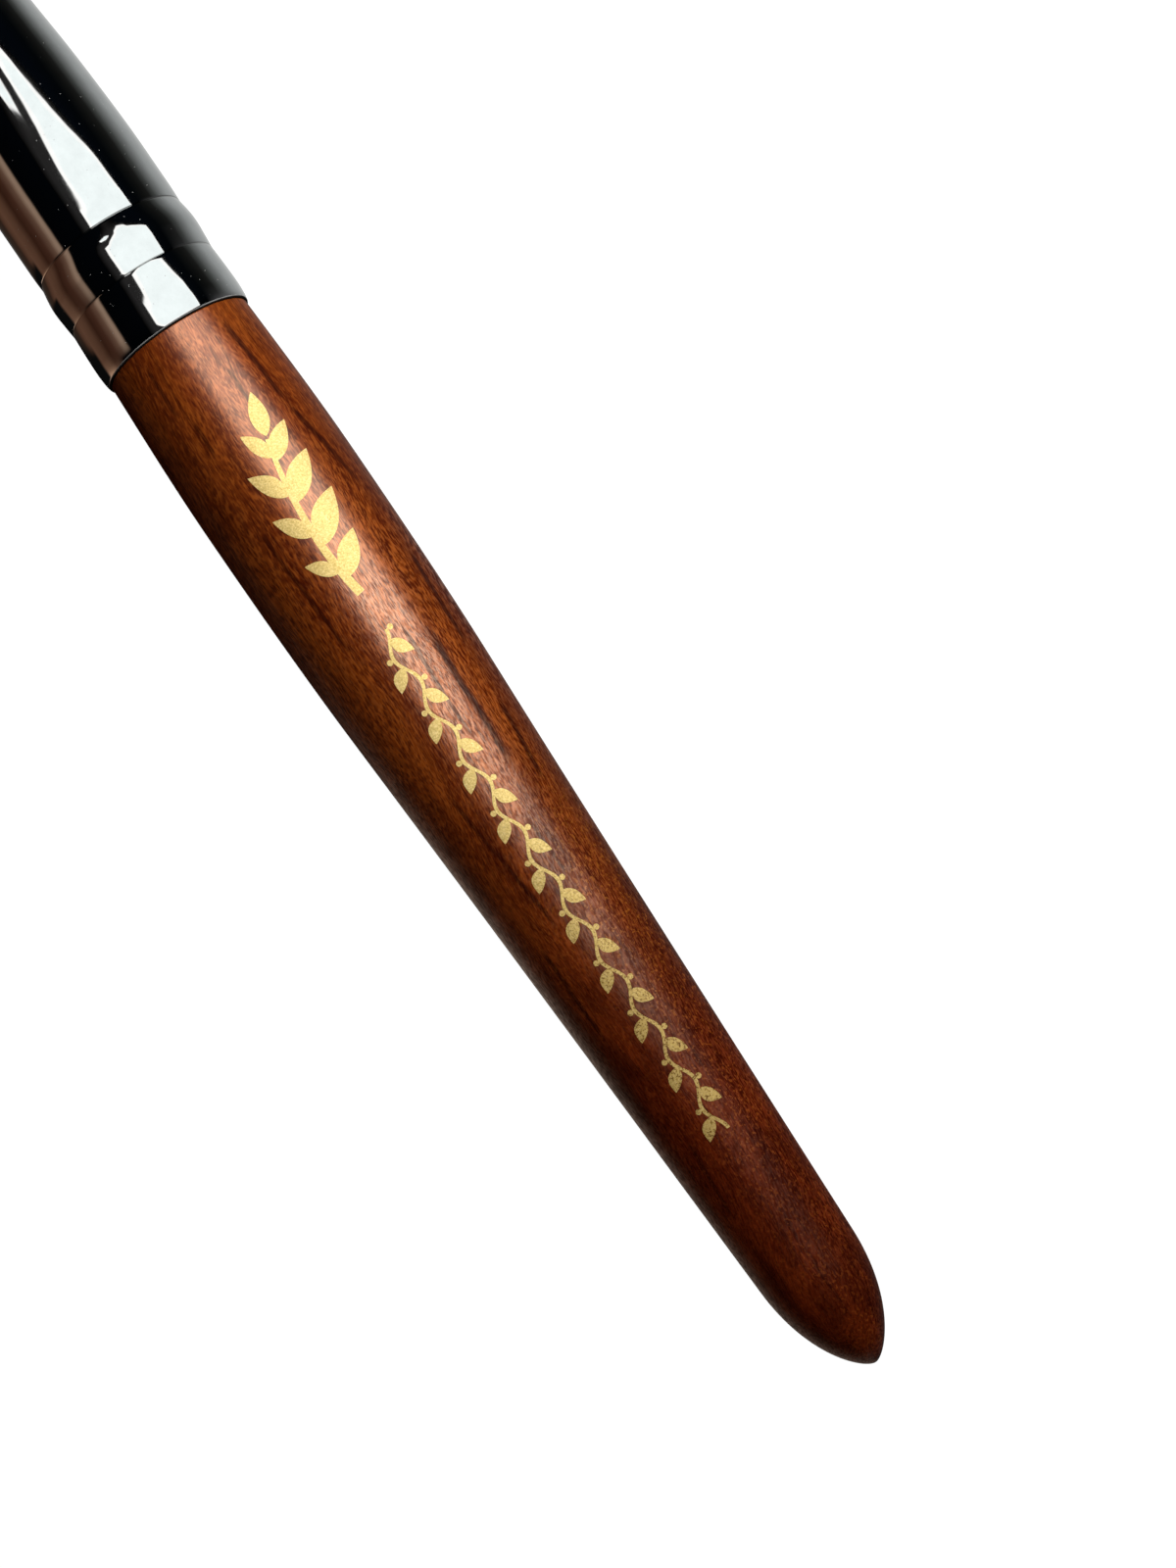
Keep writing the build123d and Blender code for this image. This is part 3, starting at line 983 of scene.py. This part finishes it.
def layOnWoodTree():
    # wraps flat (reach, side) geometry round the wood and gives it a little thickness
    tree, given = newTree("layOnWood", Object="Skin", Float="SkinStart SkinStep Lift Thickness",
                          Material="Material")
    info = addNode(tree, "GeometryNodeObjectInfo", {"Object": given["Skin"]}, transform_space="ORIGINAL")
    reach, side, _ = separate(tree, geo(tree, "InputPosition"))
    radius = radiusAt(tree, info.outputs["Geometry"], reach, given["SkinStart"], given["SkinStep"])
    angle = times(tree, calc(tree, "DIVIDE", times(tree, side, mm), radius), -1.0)
    lifted = calc(tree, "MULTIPLY_ADD", given["Lift"], mm, radius)
    place = aroundAxis(tree, calc(tree, "MULTIPLY_ADD", reach, mm, seamX), lifted, angle)
    wrapped = geo(tree, "SetPosition", {"Geometry": given["Geometry"], "Position": place})
    upright = geo(tree, "FlipFaces", {0: wrapped})
    rise = times(tree, given["Thickness"], mm)
    thick = geo(tree, "ExtrudeMesh", {"Mesh": upright, "Offset Scale": rise, "Individual": False},
                mode="FACES")
    both = addNode(tree, "GeometryNodeJoinGeometry")
    for part in (thick, wrapped):
        tree.links.new(part, both.inputs[0])
    closed = geo(tree, "MergeByDistance", {"Geometry": both.outputs[0], "Distance": 1e-6})
    endTree(tree, closed, given["Material"])
    return tree


def vineTree():
    # a waving stem with a leaf in each hollow and a berry on each crest; the input is one leaf
    tree, given = newTree("growVine", Int="Leaves", Material="Material",
                          Float="Pitch Start Side Wave Stem Berry BerryOut LeafBack LeafOut LeafTurn")
    pitch, wave, start = given["Pitch"], given["Wave"], given["Start"]
    back = combine(tree, times(tree, pitch, -1), 0.0, 0.0)
    foot = combine(tree, start, given["Side"], 0.0)
    line = geo(tree, "MeshLine", {"Count": given["Leaves"], "Start Location": foot, "Offset": back})
    # every other leaf and berry is on the other side
    side = calc(tree, "MULTIPLY_ADD", calc(tree, "MODULO", geo(tree, "InputIndex"), 2), -2.0, 1.0)
    aside = combine(tree, times(tree, pitch, given["LeafBack"]), times(tree, side, given["LeafOut"]), 0.0)
    leafSpots = geo(tree, "SetPosition", {"Geometry": line, "Offset": aside})
    leafTurn = combine(tree, 0.0, 0.0, calc(tree, "MULTIPLY_ADD", side, given["LeafTurn"], math.pi))
    leaves = geo(tree, "InstanceOnPoints",
                 {"Points": leafSpots, "Instance": given["Geometry"], "Rotation": leafTurn})
    crest = combine(tree, 0.0, times(tree, side, calc(tree, "ADD", wave, given["BerryOut"])), 0.0)
    berrySpots = geo(tree, "SetPosition", {"Geometry": line, "Offset": crest})
    berry = geo(tree, "MeshCircle", {"Vertices": 10, "Radius": given["Berry"]}, fill_type="TRIANGLE_FAN")
    berries = geo(tree, "InstanceOnPoints", {"Points": berrySpots, "Instance": berry})
    length = times(tree, given["Leaves"], pitch)
    strip = geo(tree, "MeshGrid", {"Size X": length, "Size Y": given["Stem"], "Vertices X": 320,
                                   "Vertices Y": 3})
    x, y, _ = separate(tree, geo(tree, "InputPosition"))
    along = calc(tree, "MULTIPLY_ADD", length, 0.5, x)
    swing = calc(tree, "COSINE", times(tree, calc(tree, "DIVIDE", along, pitch), math.pi))
    bent = calc(tree, "ADD", calc(tree, "ADD", y, times(tree, wave, swing)), given["Side"])
    middle = combine(tree, calc(tree, "SUBTRACT", start, along), bent, 0.0)
    stem = geo(tree, "FlipFaces", {0: geo(tree, "SetPosition", {"Geometry": strip, "Position": middle})})
    joined = addNode(tree, "GeometryNodeJoinGeometry")
    for part in (leaves, berries, stem):
        tree.links.new(part, joined.inputs[0])
    endTree(tree, joined.outputs[0], given["Material"])
    return tree


def foilMaterial():
    material, tree, shader = newMaterial("goldFoil", (0.9, 0.75, 0.4))
    place = brushSpace(tree)
    grit = noise(tree, place, *foil["gritNoise"])
    patch = between(tree, noise(tree, place, foil["patchScale"]), *foil["wornPatch"])
    worn = times(tree, between(tree, grit, *foil["wornGrit"]), patch, foil["wornDepth"])
    # towards the tail: more worn holes, and painted shade that darkens the foil
    tailWearAndShade = between(tree, separate(tree, place)[0], *foil["tailWearAndShade"])
    hole = between(tree, noise(tree, place, *foil["holeNoise"]), *foil["holeFade"])
    holes = times(tree, hole, calc(tree, "MULTIPLY_ADD", tailWearAndShade, *foil["holes"]))
    tone = colourRamp(tree, noise(tree, place, *foil["toneNoise"]), foil["tones"])
    for factor, tint in ((worn, "wornTone"), (tailWearAndShade, "tailShadeTone"), (holes, "holeTone")):
        tone = mixColour(tree, factor, tone, foil[tint])
    setShader(tree, shader, Base_Color=tone, Metallic=foil["metallic"], Specular_IOR_Level=foil["specular"],
              Roughness=between(tree, grit, *foil["roughness"]),
              Normal=bump(tree, grit, foil["relief"], 0.6))
    return material


gold = foilMaterial()
skinPoints = handleSkin() + [(0.0, handle["seamRadius"])]
skinCount = int(-foil["skinStart"] / foil["skinStep"]) + 1
skin = lineObject("woodSkin", evenly(skinPoints, foil["skinStart"], foil["skinStep"], skinCount))
layOnWood = layOnWoodTree()
vine = flatObject("goldVine", [leafShape(*foil["leaf"])])
grow(vine, vineTree(), Material=gold, **foil["vine"])


def sprigShapes():
    # a bent stem with leaves on both sides and one at its end
    steps, (footWidth, narrowing) = foil["sprigSteps"], foil["sprigWidth"]
    stem = [foil["sprigStem"][0]] + bezier(*foil["sprigStem"], steps)
    shapes = [ribbonShape(stem, [footWidth - narrowing * i / steps for i in range(steps + 1)])]
    for along, side, angle, length, width in foil["sprigLeaves"]:
        i = min(int(along * steps), steps - 1)
        before, after = stem[i], stem[i + 1]
        aim = math.atan2(after[1] - before[1], after[0] - before[0]) + side * math.radians(angle)
        gap = foil["leafGap"] if side else foil["endGap"]
        x, y = before if side else after
        leaf = leafShape(length, width, 14, 6, -0.10 * side)
        shapes.append(turned(leaf, aim, (x + math.cos(aim) * gap, y + math.sin(aim) * gap)))
    return shapes


sprig = flatObject("goldSprig", sprigShapes())
for piece in (vine, sprig):
    grow(piece, layOnWood, Skin=skin, SkinStart=foil["skinStart"], SkinStep=foil["skinStep"],
         Lift=foil["lift"], Thickness=foil["thickness"], Material=gold)
    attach(piece, "root")
    litByWindow.objects.link(piece)
bpy.data.objects.remove(skin)
print("foil is pressed on")


# Hair: a full belly drawn to a point

hair = {
    "rootReach": 45.4,                # where the separate strands begin
    "root": (4.50, 0.11),             # radius and slope there
    "hidden": ((31.0, 4.35), (35.6, 4.15), (38.32, 4.15), (40.9, 4.24), (43.4, 4.36)),
    "belly": (52.8, 5.0, 0.0),
    "coneFoot": (63.3, 3.75, -0.235),
    "tip": (0.10, -0.30),
    "coreShare": 0.93,                # the dark core's share of the outline
    "coreAtMouth": 0.97,              # and its share up to mouthEnd
    "mouthEnd": 46.5,
    "coreShort": 6,                   # rings of the outline that it stops short of the tip
    "coreNose": 0.4,
    "outlineStep": 0.25,
    "strands": 3000,
    "segments": 10,
    "thickness": 0.062,
    "layers": (                       # name, seed, share of the outline from and to, longest cut
        ("hairOuter", 3, 0.90, 1.02, 13.0),
        ("hairMiddle", 11, 0.80, 0.99, 17.0),
        ("hairInner", 29, 0.45, 0.93, 7.0)),
    "cutPower": 1.6,                  # most tips are cut only a little
    "lean": (-0.05, 0.02),
    "swing": 0.02,
    "jitter": 0.03,
    "girth": (0.75, 1.2),
    "goldenTurn": 2.399963,           # spreads the strands evenly round the axis
    "tones": ((0.15, (0.10, 0.035, 0.010)), (0.45, (0.22, 0.085, 0.026)), (0.75, (0.38, 0.17, 0.06))),
    "endTone": (0.045, 0.016, 0.007, 1),
    # painted shade for the core under the strands
    "coreShadeTone": (0.03, 0.012, 0.006, 1),
    "rootShade": (45.0, 50.5, 0.55, 0.0),
    "tipShade": (66.0, 76.0, 0.0, 0.55),
}


def hairOutline():
    radius, slope = hair["root"]
    root = (hair["rootReach"], radius, slope)
    return [root[:2]] + through(root, (hair["belly"], 16), (hair["coneFoot"], 20),
                                ((tipReach, *hair["tip"]), 24))


def strandTree():
    # grows tapered strands inside the outline given as the input
    tree, given = newTree("growStrands", Int="Count Segments Seed",
                          Float="Root Tip Step Inner Outer Cut Thickness", Material="Material")

    def chance(low, high, offset, integer):
        node = addNode(tree, "FunctionNodeRandomValue", data_type="FLOAT")
        for socket in node.inputs:
            if socket.enabled and socket.name in ("Min", "Max"):
                socket.default_value = low if socket.name == "Min" else high
        plug(tree, node.inputs["ID"], integer)
        plug(tree, node.inputs["Seed"], calc(tree, "ADD", given["Seed"], offset))
        return next(out for out in node.outputs if out.enabled)

    dots = geo(tree, "Points", {"Count": given["Count"]})
    number = geo(tree, "InputIndex")
    numbered = geo(tree, "StoreNamedAttribute", {"Geometry": dots, "Name": "strand", "Value": number},
                   data_type="INT", domain="POINT")
    toned = geo(tree, "StoreNamedAttribute",
                {"Geometry": numbered, "Name": "tone", "Value": chance(0.0, 1.0, 5, number)},
                data_type="FLOAT", domain="POINT")
    line = geo(tree, "CurvePrimitiveLine", {"Start": (0, 0, 0), "End": (1, 0, 0)})
    stepped = geo(tree, "ResampleCurve",
                  {"Curve": line, "Count": calc(tree, "ADD", given["Segments"], 1)})
    placed = geo(tree, "InstanceOnPoints", {"Points": toned, "Instance": stepped})
    real = geo(tree, "RealizeInstances", {0: placed})
    strand = geo(tree, "InputNamedAttribute", {"Name": "strand"}, data_type="INT")
    along = addNode(tree, "GeometryNodeSplineParameter").outputs["Factor"]
    # tips are cut back by chance
    short = calc(tree, "POWER", chance(0.0, 1.0, 1, strand), hair["cutPower"])
    end = calc(tree, "SUBTRACT", given["Tip"], times(tree, short, given["Cut"]))
    reach = partWay(tree, along, given["Root"], end)
    spread = calc(tree, "POWER", chance(0.0, 1.0, 2, strand), 0.5)
    share = partWay(tree, spread, given["Inner"], given["Outer"])
    lean = calc(tree, "MULTIPLY_ADD", along, chance(*hair["lean"], 3, strand), 1.0)
    outline = radiusAt(tree, given["Geometry"], reach, given["Root"], given["Step"])
    radius = times(tree, outline, times(tree, share, lean))
    wave = calc(tree, "SINE", calc(tree, "MULTIPLY_ADD", along, 5.0, chance(0.0, 6.3, 4, strand)))
    aside = calc(tree, "ADD", times(tree, wave, hair["swing"]),
                 chance(-hair["jitter"], hair["jitter"], 6, strand))
    turn = calc(tree, "ADD", times(tree, strand, hair["goldenTurn"]), aside)
    spot = aroundAxis(tree, calc(tree, "MULTIPLY_ADD", reach, mm, seamX), radius, turn)
    moved = geo(tree, "SetPosition", {"Geometry": real, "Position": spot})
    taper = calc(tree, "SUBTRACT", 1.0, times(tree, calc(tree, "POWER", along, 2.5), 0.86))
    girth = times(tree, taper, chance(*hair["girth"], 7, strand))
    thick = times(tree, times(tree, given["Thickness"], mm), girth)
    ring = geo(tree, "CurvePrimitiveCircle", {"Resolution": 3, "Radius": 1.0})
    tube = geo(tree, "CurveToMesh", {"Curve": moved, "Profile Curve": ring, "Scale": thick,
                                     "Fill Caps": True})
    endTree(tree, geo(tree, "SetShadeSmooth", {"Geometry": tube}), given["Material"])
    return tree


def hairMaterial(name, dark):
    material, tree, shader = newMaterial(name, (0.35, 0.2, 0.1))
    place = brushSpace(tree)
    reach = separate(tree, place)[0]
    tone = addNode(tree, "ShaderNodeAttribute", attribute_name="tone").outputs["Fac"]
    lines = noise(tree, scaled(tree, place, (0.05, 7.0, 7.0)), 1.0, 2.0, 0.6)
    mixed = calc(tree, "MULTIPLY_ADD", tone, 0.55, times(tree, lines, 0.5))
    colour = colourRamp(tree, mixed, hair["tones"])
    # darker at the root and again at the very tip
    root = between(tree, reach, *hair["rootShade"])
    tip = between(tree, reach, *hair["tipShade"])
    colour = mixColour(tree, calc(tree, "MAXIMUM", root, tip), colour, hair["endTone"])
    # painted shade: the core under the strands is darkened, standing in for the shade among them
    colour = mixColour(tree, dark, colour, hair["coreShadeTone"])
    setShader(tree, shader, Base_Color=colour, Roughness=between(tree, lines, 0.3, 0.7, 0.34, 0.52),
              Specular_IOR_Level=0.55, Sheen_Weight=0.25, Normal=bump(tree, lines, 0.03, 0.8))
    return material


def coreOutline():
    points = [(hair["hidden"][0][0], 0.0), *hair["hidden"]]
    for reach, radius in hairOutline()[:-hair["coreShort"]]:
        share = hair["coreShare"] if reach > hair["mouthEnd"] else hair["coreAtMouth"]
        points.append((reach, radius * share))
    return points + [(points[-1][0] + hair["coreNose"], 0.0)]


hairColour = hairMaterial("sableHair", 0.0)
coreCurve = lineObject("hairCore", coreOutline())
grow(coreCurve, lathe, Segments=96, Material=hairMaterial("hairShade", 0.6))
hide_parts("hair_tuft")
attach(coreCurve, "root")
strands = strandTree()
outlineCount = int((tipReach - hair["rootReach"]) / hair["outlineStep"]) + 2
hairPoints = evenly(hairOutline(), hair["rootReach"], hair["outlineStep"], outlineCount)
for name, seed, inner, outer, cut in hair["layers"]:
    layer = lineObject(name, hairPoints)
    grow(layer, strands, Count=hair["strands"], Segments=hair["segments"], Root=hair["rootReach"],
         Tip=tipReach, Step=hair["outlineStep"], Inner=inner, Outer=outer, Cut=cut,
         Thickness=hair["thickness"], Seed=seed, Material=hairColour)
    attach(layer, "root")
print("hair is set")


# Inside the ferrule: the thread round the hair's root, the resin it is set in, the glue on the tenon

binding = {
    "wound": {
        "Turns": 7.0,
        "Radius": 4.32,
        "Start": 35.77,
        "Length": 2.38,
        "Thread": 0.17,               # half its thickness
    },
    "tones": ((0.2, (0.30, 0.25, 0.16)), (0.8, (0.62, 0.55, 0.40))),
}


def windTree():
    # a close coil round the brush's axis
    tree, given = newTree("windThread", Float="Turns Radius Start Length Thread", Material="Material")
    coil = geo(tree, "CurveSpiral",
               {"Resolution": 48, "Rotations": given["Turns"], "Start Radius": given["Radius"],
                "End Radius": given["Radius"], "Height": given["Length"]})
    across, up, along = separate(tree, geo(tree, "InputPosition"))
    x = calc(tree, "MULTIPLY_ADD", calc(tree, "ADD", along, given["Start"]), mm, seamX)
    place = combine(tree, x, times(tree, across, mm), calc(tree, "MULTIPLY_ADD", up, mm, axisZ))
    laid = geo(tree, "SetPosition", {"Geometry": coil, "Position": place})
    ring = geo(tree, "CurvePrimitiveCircle", {"Resolution": 8, "Radius": times(tree, given["Thread"], mm)})
    tube = geo(tree, "CurveToMesh", {"Curve": laid, "Profile Curve": ring, "Fill Caps": True})
    endTree(tree, geo(tree, "SetShadeSmooth", {"Geometry": tube}), given["Material"])
    return tree


def threadMaterial():
    material, tree, shader = newMaterial("waxedThread", (0.75, 0.70, 0.58))
    place = brushSpace(tree)
    ply = addNode(tree, "ShaderNodeTexWave", {"Vector": scaled(tree, place, (1.0, 1.6, 1.6)), "Scale": 1.4,
                                              "Distortion": 2.0, "Detail": 2.0}).outputs["Fac"]
    fuzz = noise(tree, place, 12.0, 2.0, 0.6)
    mixed = calc(tree, "MULTIPLY_ADD", fuzz, 0.4, times(tree, ply, 0.6))
    setShader(tree, shader, Base_Color=colourRamp(tree, mixed, binding["tones"]), Sheen_Weight=0.2,
              Roughness=between(tree, fuzz, 0.3, 0.7, 0.5, 0.8), Normal=bump(tree, ply, 0.03, 0.8))
    return material


def cloudyMaterial(name, low, high, clear, roughness):
    # glue or resin: cloudy, with fine bubbles
    material, tree, shader = newMaterial(name, high)
    place = brushSpace(tree)
    cloud = noise(tree, place, 0.7, 3.0, 0.6)
    bubble = between(tree, cells(tree, place, 3.2)["Distance"], 0.08, 0.20, 1.0, 0.0)
    tone = colourRamp(tree, cloud, ((0.3, low), (0.7, high)))
    pale = (*[min(1.0, v * 1.8) for v in high], 1)
    tone = mixColour(tree, times(tree, bubble, 0.5), tone, pale)
    setShader(tree, shader, Base_Color=tone, Transmission_Weight=clear, IOR=1.5,
              Roughness=between(tree, cloud, 0.3, 0.7, roughness, roughness + 0.2),
              Normal=bump(tree, calc(tree, "SUBTRACT", cloud, bubble), 0.03, 0.6))
    return material


coilStart = binding["wound"]["Start"]
threadCoil = lineObject("boundThread", [(coilStart, 1.0), (coilStart + 1.0, 1.0)])
grow(threadCoil, windTree(), Material=threadMaterial(), **binding["wound"])
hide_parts("root_binding")
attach(threadCoil, "root")
innerFinishes = {
    "tenon_glue": cloudyMaterial("woodGlue", (0.30, 0.17, 0.06), (0.46, 0.29, 0.12), 0.1, 0.30),
    "root_resin": cloudyMaterial("castResin", (0.13, 0.05, 0.015), (0.24, 0.10, 0.03), 0.2, 0.12),
}
for node, finish in innerFinishes.items():
    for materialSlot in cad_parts[node].material_slots:
        materialSlot.material = finish
print("thread, resin and glue are finished")
